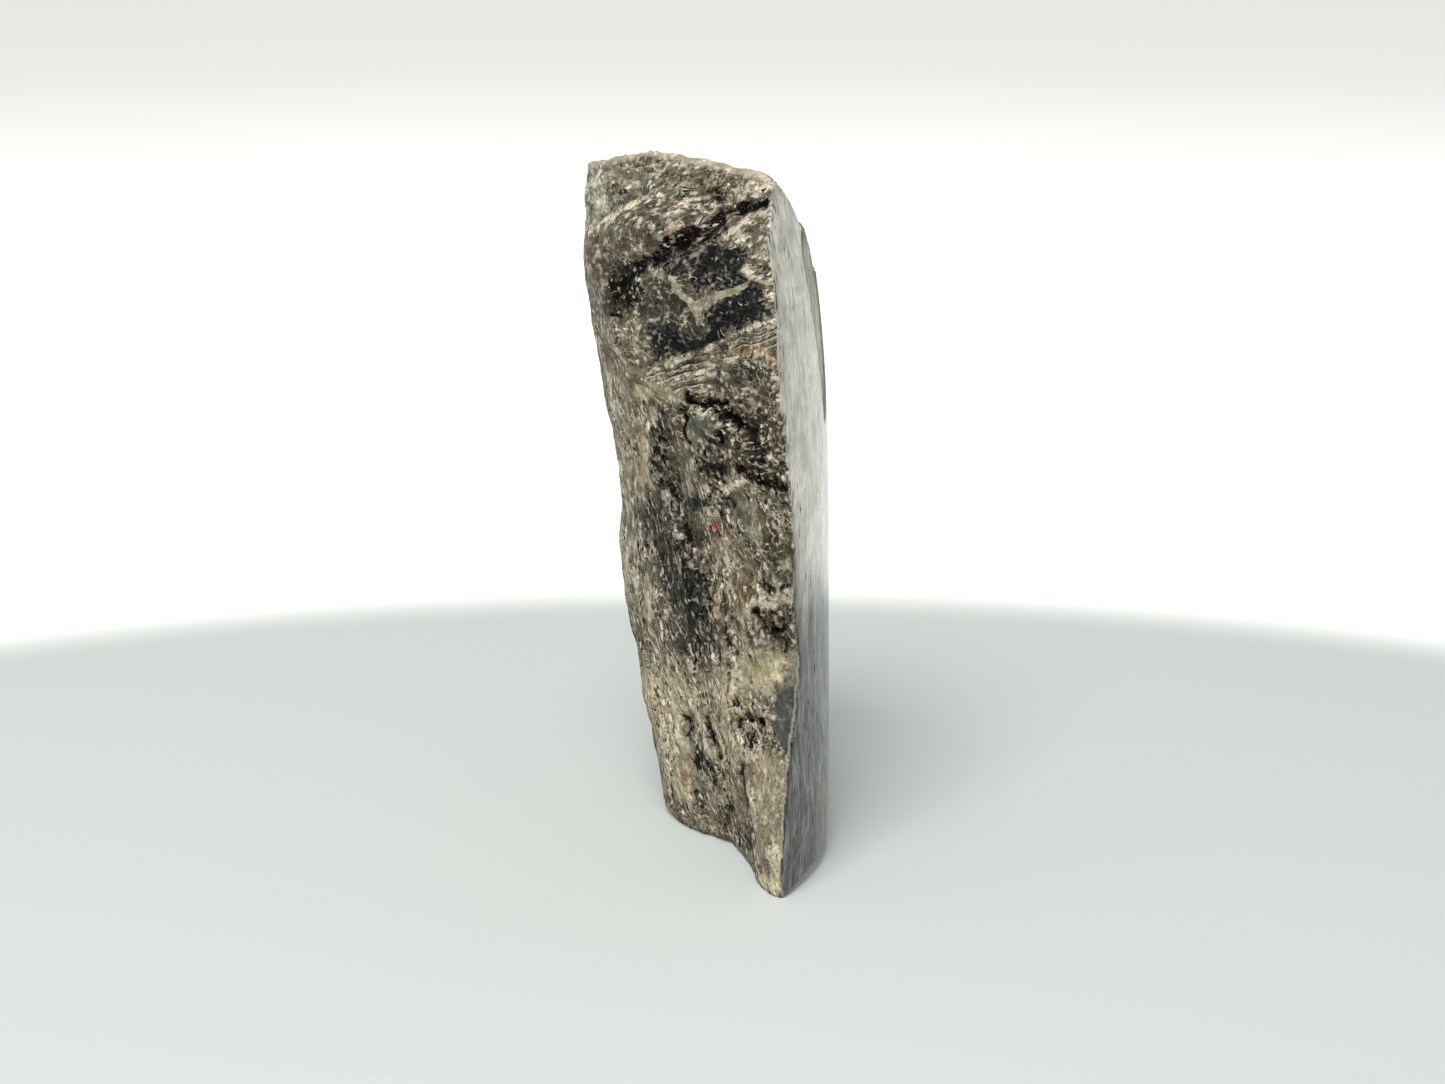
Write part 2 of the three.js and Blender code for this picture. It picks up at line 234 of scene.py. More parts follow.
def neighbour_mean(mesh, values, rounds=1):
    """Each vertex's mean over its neighbours, repeated."""
    edges = np.empty(len(mesh.edges) * 2, dtype=np.int32)
    mesh.edges.foreach_get("vertices", edges)
    a, b = edges.reshape(-1, 2).T
    count = np.bincount(a, minlength=len(values)) + np.bincount(b, minlength=len(values))
    for _ in range(rounds):
        total = np.stack(
            [
                np.bincount(a, weights=column[b], minlength=len(values))
                + np.bincount(b, weights=column[a], minlength=len(values))
                for column in values.reshape(len(values), -1).T
            ],
            axis=1,
        )
        values = (total / count[:, None]).reshape(values.shape)
    return values


def nearest(points, targets):
    """How far each point lies from the nearest of the targets."""
    tree = kdtree.KDTree(len(targets))
    for i, p in enumerate(targets):
        tree.insert(p, i)
    tree.balance()
    return np.array([tree.find(p)[2] for p in points])


def worked_face(points, normal):
    """The worked face, vertex by vertex: how far off it lies, and where it is polished.

    The distances are in mm: from the worked face, on it from its rim, and down into its flake.
    """
    inside = dome_x(points[:, 1], points[:, 2]) - points[:, 0]
    polished = np.abs(inside) < DOME_REACH
    polished &= (normal[:, 0] > POLISH_FACING) & (points[:, 2] > POLISH_FOOT)
    shallowest, deepest = FLAKE_DEPTHS
    flaked = (inside > shallowest) & (inside < deepest) & (normal[:, 0] > FLAKE_FACING)
    flaked &= (points[:, 2] > FLAKE_FOOT) & (points[:, 1] > FLAKE_FRONT)
    worked = polished | flaked
    distance, rim = np.zeros(len(points)), np.zeros(len(points))
    distance[~worked] = nearest(points[~worked], points[worked])
    rim[worked] = nearest(points[worked], points[~worked])
    return distance, rim, np.where(flaked, inside, 0), polished & ~flaked


def broken_relief(points, high):
    """Heights of the broken faces' lumps, and of their terraces, chips, grain and furrows."""
    along_high = stretched(points, FIBRES_HIGH, 2.2)
    along_low = stretched(points, FIBRES_LOW, 2.8)
    either = mix(along_low, along_high, high[:, None])
    lumps = LUMP_HEIGHT * soft_noise(points, LUMP_SIZE)
    low_slope = soft_noise(along_low, TERRACE_SIZE_LOW)
    high_slope = soft_noise(along_high + 31, TERRACE_SIZE_HIGH)
    steps = TERRACE_HEIGHT * terraces(mix(low_slope, high_slope, high), TERRACE_COUNT)
    chips = CHIP_LEAN * facets(either, CHIP_SIZE)
    chips += SMALL_CHIP_LEAN * facets(either + 40, SMALL_CHIP_SIZE)
    grain = GRAIN_HEIGHT * soft_noise(points, GRAIN_SIZE, 2)
    deep = FURROW_HEIGHT + FURROW_HEIGHT_MORE * smoothstep(*DEEPER_FURROWS, points[:, 2])
    crests = deep * furrows(stretched(points + 63, FIBRES_LOW, 3.2), FURROW_SIZE)
    # The terraces reach down by their height, so half of it lifts them back.
    return lumps, steps + TERRACE_HEIGHT / 2 + chips + grain + mix(crests, 0, high)


# ---- markings on the broken front ----------------------------------------------------------

BROWN_GREY = linear(112, 105, 88)
BEIGE = linear(146, 138, 115)
GREEN_GREY = linear(112, 112, 98)
DARK_GREEN = linear(66, 66, 54)
BEVEL_GREY = linear(74, 78, 74)
OLIVE = linear(86, 79, 56)
OCHRE = linear(158, 134, 92)
ROSE = linear(166, 138, 120)
SLATE = linear(78, 79, 72)
RED = linear(200, 30, 36)

# These five are not tones but channels of their own, because the shader breaks up their edges.
CHARCOAL, BLACK, CREAM, VEIN, SEAMS = "dark", "black", "cream", "vein", "seams"

# Each marking: its name, its colour, its width, how strongly it covers, how glassy it is, how far
# it stands proud in mm, and its line, across and down in the front view. Past 1 the glassiness is
# a calm without flakes. Widths are in units of the view, and later markings lie over earlier ones.
MARKS = {
    # The cap, and the bulge below it.
    "cap": (BEIGE, 46, 0.6, 0.3, 0, [(605, 185), (650, 175), (700, 178), (760, 190)]),
    "cap's dull left": (GREEN_GREY * 2.8, 26, 0.8, 1.2, 0, [(597, 180), (596, 205), (600, 226)]),
    "cap's brown rim": (BROWN_GREY, 9, 0.8, 1.6, 0, [(598, 168), (650, 157), (700, 163), (745, 176)]),
    "cap's pale flake": (CREAM, 12, 0.7, 0, 0.2, [(690, 199), (703, 210), (710, 207)]),
    "cap's left flake": (CREAM, 7, 0.5, 0, 0.1, [(620, 208), (634, 203)]),
    "cap's corner flakes": (CREAM, 14, 0.6, 0, 0.2, [(742, 190), (754, 197), (765, 184), (772, 192)]),
    "cap's green middle": (GREEN_GREY * 0.85, 20, 0.85, 1.2, 0, [(640, 178), (655, 190), (668, 198)]),
    "cap's right hollow": (CHARCOAL, 9, 0.5, 0, -0.2, [(718, 176), (730, 186), (742, 184)]),
    "cap's dark hollow": (CHARCOAL, 10, 0.5, 0, -0.2, [(612, 178), (622, 190), (632, 196)]),
    "bulge": (BROWN_GREY * 0.48, 46, 0.9, 1.55, 0.3, [(600, 255), (630, 235), (655, 225), (684, 238)]),
    "bulge's green eye": (GREEN_GREY * 0.5, 20, 0.8, 1.2, 0, [(652, 214), (662, 222)]),
    "bulge's upper edge": (
        CREAM, 4, 0.8, 1, 0.3,
        [(587, 236), (620, 213), (645, 200), (660, 197), (690, 210)],
    ),
    "bulge's rosy edge": (ROSE, 12, 0.6, 0, 0.2, [(672, 226), (690, 236), (706, 222)]),
    "bulge's lower edge": (CREAM, 4, 0.8, 1, 0.3, [(600, 283), (628, 270), (652, 252)]),
    "dark green field": (
        DARK_GREEN * 0.95, 46, 0.95, 1.5, -0.3,
        [(606, 296), (640, 287), (668, 300), (655, 316)],
    ),
    # The shelf on the right, and the black undercut that runs down from it. The undercut's black is partly
    # a dark mineral and partly painted shade under the bulge's overhang.
    "brown shelf": (BROWN_GREY * 0.65, 17, 0.9, 1.6, 0, [(724, 230), (752, 221), (772, 216)]),
    "shelf's bright line": (CREAM, 3, 0.7, 0, 0.2, [(716, 237), (735, 231), (752, 224)]),
    "shelf's flake": (CREAM, 6, 0.8, 0, 0.2, [(733, 234), (739, 232)]),
    "shelf's cream": (CREAM, 8, 0.6, 0, 0.2, [(712, 245), (726, 241)]),
    "black on the right": (BLACK, 9, 0.9, 0, -0.7, [(764, 203), (748, 206), (738, 211)]),
    "black's right end": (BLACK, 7, 0.65, 0, -0.5, [(738, 211), (724, 214), (716, 220)]),
    "black patch": (BLACK, 12, 0.85, 0, -0.6, [(722, 224), (712, 228)]),
    "black undercut": (BLACK, 21, 1, 0, -1, [(704, 238), (685, 244), (668, 252)]),
    "black undercut's left": (BLACK, 9, 0.9, 0, -0.8, [(662, 257), (650, 261), (637, 267)]),
    "black link": (BLACK, 7, 0.65, 0, -0.4, [(637, 267), (630, 275)]),
    "black undercut's top": (BLACK, 9, 0.9, 0, -0.8, [(690, 234), (678, 237), (664, 246)]),
    "left black blot": (BLACK, 20, 1, 0, -0.6, [(622, 282), (628, 296)]),
    "left black spot": (BLACK, 10, 0.75, 0, -0.3, [(617, 314), (620, 321)]),
    # The dark glass, and the pale veins across it.
    "upper glass": (CHARCOAL, 42, 1, 1, 0, [(684, 274), (705, 267), (728, 269), (738, 280)]),
    "middle glass": (CHARCOAL, 32, 1, 1, 0, [(706, 328), (724, 317), (748, 306)]),
    "middle glass's foot": (CHARCOAL, 22, 0.95, 1, 0, [(716, 340), (702, 333)]),
    "right glass": (CHARCOAL, 20, 0.7, 1, 0, [(755, 325), (768, 316)]),
    "left glass": (CHARCOAL, 36, 0.92, 1, 0, [(655, 346), (672, 340), (690, 348)]),
    "green between the veins": (DARK_GREEN, 22, 0.9, 1.2, 0, [(682, 284), (682, 314), (698, 330)]),
    "left vein": (VEIN, 6, 1, 1.2, 0.3, [(671, 278), (684, 294), (696, 308), (700, 323)]),
    "right vein": (VEIN, 6, 1, 1.2, 0.2, [(745, 286), (722, 296), (702, 304)]),
    # Around the glass.
    "brown lens": (BROWN_GREY * 0.8, 18, 0.9, 1.6, 0, [(758, 238), (763, 258)]),
    "right flakes": (CREAM, 9, 0.8, 0, 0.2, [(746, 270), (757, 281), (774, 279)]),
    "beige shoulder": (BEIGE * 0.72, 40, 0.85, 1.1, 0.2, [(614, 340), (630, 350), (640, 370), (626, 392)]),
    "grey lens": (BROWN_GREY, 18, 0.8, 1.5, 0, [(735, 334), (748, 344)]),
    # The fine seams, and the dark shelf below them.
    "seams": (SEAMS, 30, 1, 0.6, 0, [(662, 384), (712, 366), (772, 341)]),
    "upper bright seam": (CREAM, 4, 0.8, 0.5, 0.3, [(650, 372), (700, 352), (745, 331), (775, 319)]),
    "lower bright seam": (CREAM, 4, 0.7, 0.5, 0.3, [(655, 387), (700, 372), (745, 356), (772, 349)]),
    "ochre flakes": (OCHRE * 1.1, 11, 0.7, 0, 0, [(735, 352), (758, 350), (775, 358)]),
    "dark shelf": (DARK_GREEN, 26, 0.85, 0.4, -0.3, [(720, 379), (745, 376), (765, 373)]),
    "pale smear": (BEIGE * 1.25, 14, 0.85, 1.5, 0.2, [(640, 394), (662, 391), (680, 396)]),
    # The olive field, the black crevice and the glassy nodule.
    "olive field": (
        OLIVE * 0.7, 44, 0.9, 0.4, -0.3,
        [(738, 428), (764, 424), (780, 448), (768, 474), (745, 460)],
    ),
    "olive field's dark": (CHARCOAL, 16, 0.75, 0, -0.2, [(738, 420), (752, 440), (760, 462)]),
    "black crevice": (BLACK, 9, 1, 0, -1, [(688, 398), (700, 405), (715, 402), (728, 412), (736, 426)]),
    "black crevice's left": (BLACK, 6, 1, 0, -0.8, [(684, 410), (684, 430), (690, 442)]),
    "left pit": (CHARCOAL, 15, 0.62, 1, -0.2, [(661, 412), (666, 430)]),
    "black by the nodule": (BLACK, 7, 0.75, 0, -0.4, [(718, 408), (723, 425), (720, 441)]),
    "glassy nodule": (SLATE * 1.5, 22, 1, 1.7, 0.4, [(698, 429), (704, 427)]),
    "lower glass": (CHARCOAL, 24, 0.85, 1, 0, [(708, 462), (720, 468)]),
    "olive's black spots": (BLACK, 8, 0.8, 0, -0.3, [(742, 470), (756, 478), (776, 486), (786, 490)]),
    "box-shaped flake": (CREAM, 9, 0.8, 0, 0.3, [(728, 491), (743, 484)]),
    # The columns below the nodule.
    "green column": (GREEN_GREY, 14, 0.9, 1.6, 0.2, [(686, 457), (690, 485), (692, 508)]),
    "dark column": (CHARCOAL, 12, 0.7, 0.5, 0, [(656, 434), (658, 470), (664, 500)]),
    "beige column": (BEIGE * 1.9, 20, 0.75, 0, 0.2, [(632, 420), (640, 460), (645, 505)]),
    "slate shelf": (CHARCOAL, 18, 0.65, 0.7, 0, [(688, 506), (712, 500), (730, 502)]),
    # The red crystal, and the fields and nodules beside it.
    "rosy patch": (ROSE, 18, 0.7, 0, 0, [(716, 533), (722, 542)]),
    "red crystal": (RED, 7, 1, 1.5, 0.2, [(711, 528), (717, 525)]),
    "red speck": (RED, 4, 0.8, 0, 0, [(730, 577), (731, 578)]),
    "green-grey field": (GREEN_GREY * 1.6, 26, 0.8, 1.2, 0, [(750, 515), (758, 530)]),
    "olive shoulder": (OLIVE * 0.72, 32, 0.9, 1.3, 0.2, [(774, 526), (778, 548)]),
    "beige field": (BEIGE * 1.1, 30, 0.8, 0, 0, [(718, 556), (735, 575), (745, 590)]),
    "green nodule's edge": (
        CHARCOAL, 8, 0.62, 0, -0.4,
        [(758, 556), (757, 572), (764, 586), (782, 588), (792, 578)],
    ),
    "green nodule": (GREEN_GREY * 0.8, 26, 0.95, 0.8, 0.4, [(772, 566), (781, 566)]),
    "ochre field": (OCHRE * 0.52, 22, 0.85, 0, 0, [(724, 600), (745, 594)]),
    "light beige shelf": (CREAM, 14, 0.85, 0, 0.3, [(758, 601), (780, 599), (793, 595)]),
    "black grains": (BLACK, 6, 0.68, 0, -0.3, [(757, 612), (770, 632), (786, 627)]),
    # The pale disc on the right, and the wedge beside it.
    "pale smooth disc": (BEIGE * 1.5, 46, 1, 1.9, 0.3, [(758, 672), (768, 670)]),
    "disc's ochre stain": (OCHRE * 0.9, 12, 0.4, 1.4, 0, [(752, 662), (764, 672)]),
    "pale wedge": (GREEN_GREY * 1.5, 13, 0.95, 1.9, 0, [(808, 638), (798, 668), (784, 692)]),
    "dark speck": (BLACK, 4, 0.8, 0, 0, [(750, 656), (751, 657)]),
    "lower dark speck": (BLACK, 4, 0.8, 0, 0, [(750, 681), (751, 682)]),
    # The left flank, and the great dark field that runs down beside it.
    "left flank": (
        GREEN_GREY * 3.3, 28, 0.7, 0, 0,
        [(599, 380), (610, 440), (620, 500), (624, 560), (630, 610)],
    ),
    "great dark field": (SLATE, 50, 0.9, 0.5, -0.2, [(657, 512), (672, 560), (690, 612), (700, 660)]),
    "great dark field's left": (
        CHARCOAL, 36, 0.5, 0.4, -0.2,
        [(652, 512), (660, 545), (674, 582), (688, 612)],
    ),
    "great dark field's right": (CHARCOAL, 34, 0.48, 0.4, -0.2, [(688, 536), (702, 585), (708, 636)]),
    "great dark field's foot": (CHARCOAL, 26, 0.4, 0.2, 0, [(694, 650), (704, 692)]),
    "bright border": (CREAM, 4, 0.5, 0, 0.3, [(690, 545), (714, 572), (722, 600), (735, 640)]),
    "rosy flake": (CREAM, 8, 0.85, 0, 0.3, [(650, 598), (652, 616)]),
    # The beige rock low down, with its hollows and ridges. The hollows' dark and the dark underside are
    # painted shade, and the light ridges are painted highlights.
    "lower beige": (BEIGE * 3.0, 62, 0.8, 0, 0, [(660, 690), (678, 740), (700, 790)]),
    "lower beige's right": (BEIGE * 1.9, 50, 0.8, 0, 0, [(725, 690), (740, 745)]),
    "hollows": (SLATE * 3, 30, 0.65, 0, 0, [(692, 722), (704, 752), (712, 790)]),
    "first hollow": (CHARCOAL, 10, 0.62, 0.3, -0.6, [(684, 717), (689, 728), (694, 744)]),
    "second hollow": (CHARCOAL, 9, 0.6, 0.3, -0.6, [(704, 725), (712, 738), (722, 757)]),
    "third hollow": (CHARCOAL, 12, 0.62, 0.4, -0.7, [(697, 753), (704, 771), (713, 786)]),
    "fourth hollow": (CHARCOAL, 8, 0.55, 0.3, -0.5, [(708, 757), (717, 778)]),
    "fifth hollow": (CHARCOAL, 9, 0.6, 0.3, -0.5, [(694, 790), (708, 806), (717, 824)]),
    "light ridge": (CREAM, 5, 0.7, 0, 0.4, [(673, 694), (679, 718), (676, 740)]),
    "second light ridge": (CREAM, 4, 0.7, 0, 0.4, [(698, 716), (706, 742), (713, 756)]),
    "third light ridge": (CREAM, 4, 0.7, 0, 0.4, [(716, 726), (726, 757), (724, 770)]),
    "left light ridge": (BEIGE * 1.9, 9, 0.8, 0.6, 0.3, [(672, 748), (680, 768), (690, 790)]),
    "dark underside": (BROWN_GREY * 0.6, 8, 0.8, 0, -0.3, [(664, 797), (674, 804), (686, 811)]),
    "black hollow": (BLACK, 9, 0.64, 0, -0.6, [(740, 722), (752, 718), (764, 726)]),
    "black hollow's foot": (BLACK, 8, 0.58, 0, -0.5, [(744, 741), (756, 750), (772, 746)]),
    "dark below the bevel": (CHARCOAL, 14, 0.55, 0, -0.3, [(745, 730), (760, 740), (772, 756)]),
    "rosy plate": (ROSE * 1.15, 15, 0.8, 1.2, 0.4, [(687, 768), (691, 785)]),
    "dark foot": (CHARCOAL, 13, 0.65, 0, -0.3, [(728, 808), (742, 838), (750, 852)]),
    "brown foot": (BROWN_GREY, 22, 0.7, 0, 0, [(680, 812), (705, 806), (725, 822)]),
    # The toe and the bevel.
    "toe's face": (BEIGE * 1.08, 40, 0.9, 1.8, 0, [(766, 770), (765, 810), (768, 850)]),
    "toe's dark line": (CHARCOAL, 6, 0.85, 0, -0.5, [(741, 767), (746, 812), (751, 848)]),
    "toe's bright edge": (BEIGE * 2.4, 5, 0.7, 0, 0.3, [(746, 771), (752, 806), (756, 828)]),
    "toe's pale end": (CREAM, 12, 0.8, 1.3, 0, [(775, 848), (777, 868)]),
    # The toe's tip is painted paler to lift the shade that it lies in: painted light.
    "toe's tip": (BEIGE * 3.0, 20, 0.95, 1.4, 0, [(770, 884), (790, 884)]),
    "smooth bevel": (BEVEL_GREY, 22, 1, 2, 0, [(794, 690), (785, 708), (784, 726)]),
    "bevel's foot": (BEVEL_GREY, 12, 1, 2, 0, [(785, 722), (788, 750)]),
}


# A marking's edge wanders by half its width, and by this much at most.
MOST_WANDER = 7


def distance_to_line(at, line):
    """How far view points lie from a line of view points."""
    nearest_part = np.full(len(at), np.inf)
    for start, end in zip(np.array(line[:-1], float), np.array(line[1:], float)):
        along = end - start
        share = np.clip((at - start) @ along / (along @ along), 0, 1)
        off = np.linalg.norm(at - start - share[:, None] * along, axis=1)
        nearest_part = np.minimum(nearest_part, off)
    return nearest_part


def random_looks(points, elsewhere):
    """Cloudy tones all over, and elsewhere, where no mark reaches, patches of the marks' kinds."""
    patches = soft_noise(points + 50, 13.0)
    hues = soft_noise(points - 20, 8.0)
    tone = mix(BROWN_GREY, BEIGE, smoothstep(-0.5, 0.6, patches)[:, None])
    tone = mix(tone, GREEN_GREY, 0.6 * smoothstep(0.0, 0.6, hues)[:, None])
    along = stretched(points, FIBRES_LOW, 1.6)
    channels = {
        CHARCOAL: 0.8 * smoothstep(-0.1, 0.8, soft_noise(along + 90, 11.0, 4)) * elsewhere,
        BLACK: 0.6 * smoothstep(0.25, 0.8, soft_noise(along + 140, 6.0, 4)) * elsewhere,
        CREAM: 0.7 * smoothstep(0.2, 0.7, soft_noise(along + 170, 6.0)) * elsewhere,
        VEIN: np.zeros(len(points)),
        SEAMS: np.zeros(len(points)),
    }
    calm_patches = smoothstep(0.15, 0.5, soft_noise(along + 230, 8.0))
    glass = 0.8 * channels[CHARCOAL] + 1.4 * calm_patches * elsewhere
    tone = tone * (1 + 0.4 * soft_noise(points + 300, 9.0) * elsewhere)[:, None]
    ochre = smoothstep(0.3, 0.55, soft_noise(points + 200, 9.0)) * elsewhere
    return mix(tone, OCHRE * 0.8, 0.5 * ochre[:, None]), channels, glass


def paint(points, normal):
    """The broken faces' looks, vertex by vertex: tone, channels, glassiness, and the marks' height."""
    to_eye = EYE - points
    to_eye /= np.linalg.norm(to_eye, axis=1)[:, None]
    in_front = smoothstep(0.02, 0.25, np.einsum("ij,ij->i", normal, to_eye))
    tone, channels, glass = random_looks(points, 1 - in_front)

    at = front_view(points)
    wander = np.stack([soft_noise(points + 11, 2.6, 4), soft_noise(points + 77, 2.6, 4)], axis=1)
    lift = np.zeros(len(points))
    for colour, width, strength, glassy, rise, line in MARKS.values():
        channel = colour if isinstance(colour, str) else None
        distance = distance_to_line(at + min(MOST_WANDER, 0.5 * width) * wander, line)
        edge = max(5, 0.55 * width) if channel else max(3, 0.3 * width)
        cover = strength * smoothstep(width / 2 + edge, width / 2 - edge, distance) * in_front
        for name in channels:
            channels[name] = mix(channels[name], float(name == channel), cover)
        if channel is None:
            tone = mix(tone, colour, cover[:, None])
        glass = mix(glass, glassy, cover)
        lift = mix(lift, rise, cover)
    return tone, channels, glass, lift


def give(mesh, name, values):
    """Stores values on the mesh's vertices, for its material."""
    if values.ndim == 1:
        attribute = mesh.attributes.new(name, "FLOAT", "POINT")
        attribute.data.foreach_set("value", values.astype(np.float32))
    else:
        attribute = mesh.attributes.new(name, "FLOAT_COLOR", "POINT")
        colours = np.concatenate([values, np.ones((len(values), 1))], axis=1)
        attribute.data.foreach_set("color", colours.astype(np.float32).ravel())


def smoothed(mesh, points, distance, polished):
    """Points without the CAD's facets, except beside the worked face and the foot."""
    loose = smoothstep(*LOOSE_FROM_FACE, distance) * smoothstep(*LOOSE_FROM_FOOT, points[:, 2])
    for step in SHRINK_AND_SWELL * SMOOTHING_ROUNDS:
        points = mix(points, neighbour_mean(mesh, points), step * loose[:, None])
    points[polished, 0] = dome_x(points[polished, 1], points[polished, 2])
    return points


def make_stone():
    mesh = even_copy()
    points = coordinates(mesh)
    distance, rim, flake_depth, polished = worked_face(points, normals(mesh))
    standing = points[:, 2] < FOOT_TOP
    points = smoothed(mesh, points, distance, polished)
    place(mesh, points)
    normal = neighbour_mean(mesh, normals(mesh), 3)
    normal /= np.linalg.norm(normal, axis=1)[:, None]

    tone, channels, glass, lift = paint(points, normal)
    high = smoothstep(*UPPER_PART, points[:, 2] + UPPER_PART_LEAN * points[:, 0])
    broken = smoothstep(*RELIEF_FROM_FACE, distance) * smoothstep(*RELIEF_FROM_FOOT, points[:, 2])
    # Glassy parts are smoother, and the crown and the left flank are nearly even.
    sideways = np.maximum(smoothstep(-0.3, -0.8, normal[:, 0]), smoothstep(0.3, 0.8, normal[:, 2]))
    evenness = 1 - 0.55 * np.minimum(glass, 1) - 0.4 * np.maximum(glass - 1, 0)
    evenness *= 1 - 0.95 * sideways
    crown = CROWN_RISE * smoothstep(0.3, 0.8, normal[:, 2])
    lumps, chips = broken_relief(points, high)
    relief = (lumps + chips * evenness + lift + crown) * broken
    points = points + normal * relief[:, None]
    points[:, 2] = np.maximum(points[:, 2], 0)
    points[standing, 2] = 0
    place(mesh, points)

    # How far each vertex lies below its neighbours, from -1 on a crest to 1 in a hollow. The material
    # paints shade in the hollows and highlights on the crests from it.
    hollow = np.einsum("ij,ij->i", neighbour_mean(mesh, points, 10) - points, normals(mesh)) * broken
    looks = channels | {"tone": tone, "glass": glass, "high": high}
    looks["hollow"] = np.clip(hollow / np.percentile(np.abs(hollow), 97), -1, 1)
    looks |= {"from_face": distance, "rim": rim, "flake_depth": flake_depth}
    for name, values in looks.items():
        give(mesh, name, values)

    mesh.shade_smooth()
    stone = bpy.data.objects.new("stone_surface", mesh)
    bpy.context.collection.objects.link(stone)
    return stone


# ---- shader maths --------------------------------------------------------------------------


class Value:
    """A number, a colour or a vector on a shader socket. Arithmetic on it adds Math nodes."""

    def __init__(self, shader, socket):
        self.shader, self.socket = shader, socket

    def maths(self, operation, *others):
        return self.shader.value("ShaderNodeMath", {"operation": operation}, dict(enumerate(others)))

    def __add__(self, other):
        return self.maths("ADD", self, other)

    def __sub__(self, other):
        return self.maths("SUBTRACT", self, other)

    def __rsub__(self, other):
        return self.maths("SUBTRACT", other, self)

    def __mul__(self, other):
        return self.maths("MULTIPLY", self, other)

    def __truediv__(self, other):
        return self.maths("DIVIDE", self, other)

    def __rpow__(self, other):
        return self.maths("POWER", other, self)

    __radd__, __rmul__ = __add__, __mul__

    def sine(self):
        return self.maths("SINE", self)

    def fraction(self):
        return self.maths("FRACT", self)

    def or_less(self, other):
        return self.maths("MINIMUM", self, other)

    def rise(self, low, high):
        """0 below low, 1 above high, smooth between. It falls where low is above high."""
        flip = low > high
        ends = {"Value": self, "From Min": min(low, high), "From Max": max(low, high)}
        ends |= {"To Min": float(flip), "To Max": float(not flip)}
        return self.shader.value("ShaderNodeMapRange", {"interpolation_type": "SMOOTHSTEP"}, ends)


class Shader:
    """A material's node tree. Every node comes from add()."""

    def __init__(self, name):
        self.material = bpy.data.materials.new(name)
        self.material.use_nodes = True
        self.tree = self.material.node_tree
        self.tree.nodes.clear()

    def add(self, kind, settings=None, sockets=None):
        node = self.tree.nodes.new(kind)
        for name, value in (settings or {}).items():
            setattr(node, name, value)
        for name, value in (sockets or {}).items():
            if isinstance(value, Value):
                self.tree.links.new(value.socket, node.inputs[name])
            else:
                node.inputs[name].default_value = value
        return node

    def value(self, kind, settings=None, sockets=None, output=0):
        return Value(self, self.add(kind, settings, sockets).outputs[output])

    def attribute(self, name, output="Fac"):
        return self.value("ShaderNodeAttribute", {"attribute_name": name}, output=output)

    def vector(self, operation, one, other, output=0):
        """Vector maths. Output 0 is a vector and output 1 a number."""
        return self.value("ShaderNodeVectorMath", {"operation": operation}, {0: one, 1: other}, output)

    def scaled(self, vector, amount):
        """A vector or a colour, times a number."""
        return self.value("ShaderNodeVectorMath", {"operation": "SCALE"}, {0: vector, "Scale": amount})

    def blend(self, a, b, share):
        """Colour a turning into colour b."""
        a, b = (c if isinstance(c, Value) else rgba(c) for c in (a, b))
        settings = {"data_type": "RGBA", "clamp_factor": True}
        return self.value("ShaderNodeMix", settings, {0: share, 6: a, 7: b}, 2)

    def noise(self, at, size, detail=3.0, roughness=0.55, distortion=0.0):
        """Cloudy noise of this size in mm."""
        sockets = {"Vector": at, "Scale": 1 / size, "Detail": detail}
        sockets |= {"Roughness": roughness, "Distortion": distortion}
        return self.value("ShaderNodeTexNoise", None, sockets)

    def bump(self, unit, height):
        """A Normal from a height, which counts in this unit of mm."""
        return self.value("ShaderNodeBump", None, {"Distance": unit * MM, "Height": height})

    def surface(self, specular, **sockets):
        return self.value("ShaderNodeBsdfPrincipled", None, {"Specular IOR Level": specular, **sockets})

    def mixed(self, one, other, share):
        return self.value("ShaderNodeMixShader", None, {"Fac": share, 1: one, 2: other})

    def finish(self, surface):
        self.add("ShaderNodeOutputMaterial", None, {"Surface": surface})
        return self.material


# ---- the stone's material ------------------------------------------------------------------

# The directions, in the object's own frame, in which its patterns run.
UPRIGHT = (0.05, 0, 1)
NICKS_RUN = (0.05, 0.1, 1)
SLANT = Vector((0.27, 0.77, 1)).normalized()

# The play of colours on the polish, a painted sheen, comes in between these distances towards the back.
PLAY_STARTS = -20, 0

FELDSPAR_IOR = 1.56
COAT_ROUGHNESS = 0.1

# The colours of the broken rock. Its tones turn a little cooler in places, and warmer in others.
COOL, WARM = (0.95, 1.0, 0.99), (1.07, 0.98, 0.93)
BRIGHTEST = linear(210, 198, 181)
GLASS_DARK, GLASS_LIGHT = linear(11, 13, 14), linear(40, 44, 45)
# Painted shade just below each broken sheet's edge, and a painted highlight on the edge.
SHEET_SHADE, SHEET_EDGE_HIGHLIGHT = linear(20, 18, 11), linear(214, 202, 180)
HAIR = linear(216, 210, 190)
# The light specks are painted glints.
DARK_SPECK, SPECK_GLINT = linear(24, 21, 13), linear(244, 234, 212)
# The cream flakes' colour, partly their own and partly a painted highlight where they catch the light.
CREAM_FLAKE_AND_HIGHLIGHT = linear(234, 222, 196)
VEIN_DARK, VEIN_LIGHT = linear(98, 95, 79), linear(190, 183, 160)
SEAM_DARK, SEAM_LIGHT = linear(12, 12, 10), linear(206, 198, 176)
# Black, partly a dark mineral and partly painted shade in the crevices and under the overhangs.
PITCH_AND_SHADE = linear(3, 3, 2)
# Painted shade for the hollows, and a painted highlight for the crests.
HOLLOW_SHADE, CREST_HIGHLIGHT = linear(6, 6, 5), linear(216, 206, 182)
# A painted highlight along the rim low beside the polish.
RIM_HIGHLIGHT = linear(168, 166, 148)

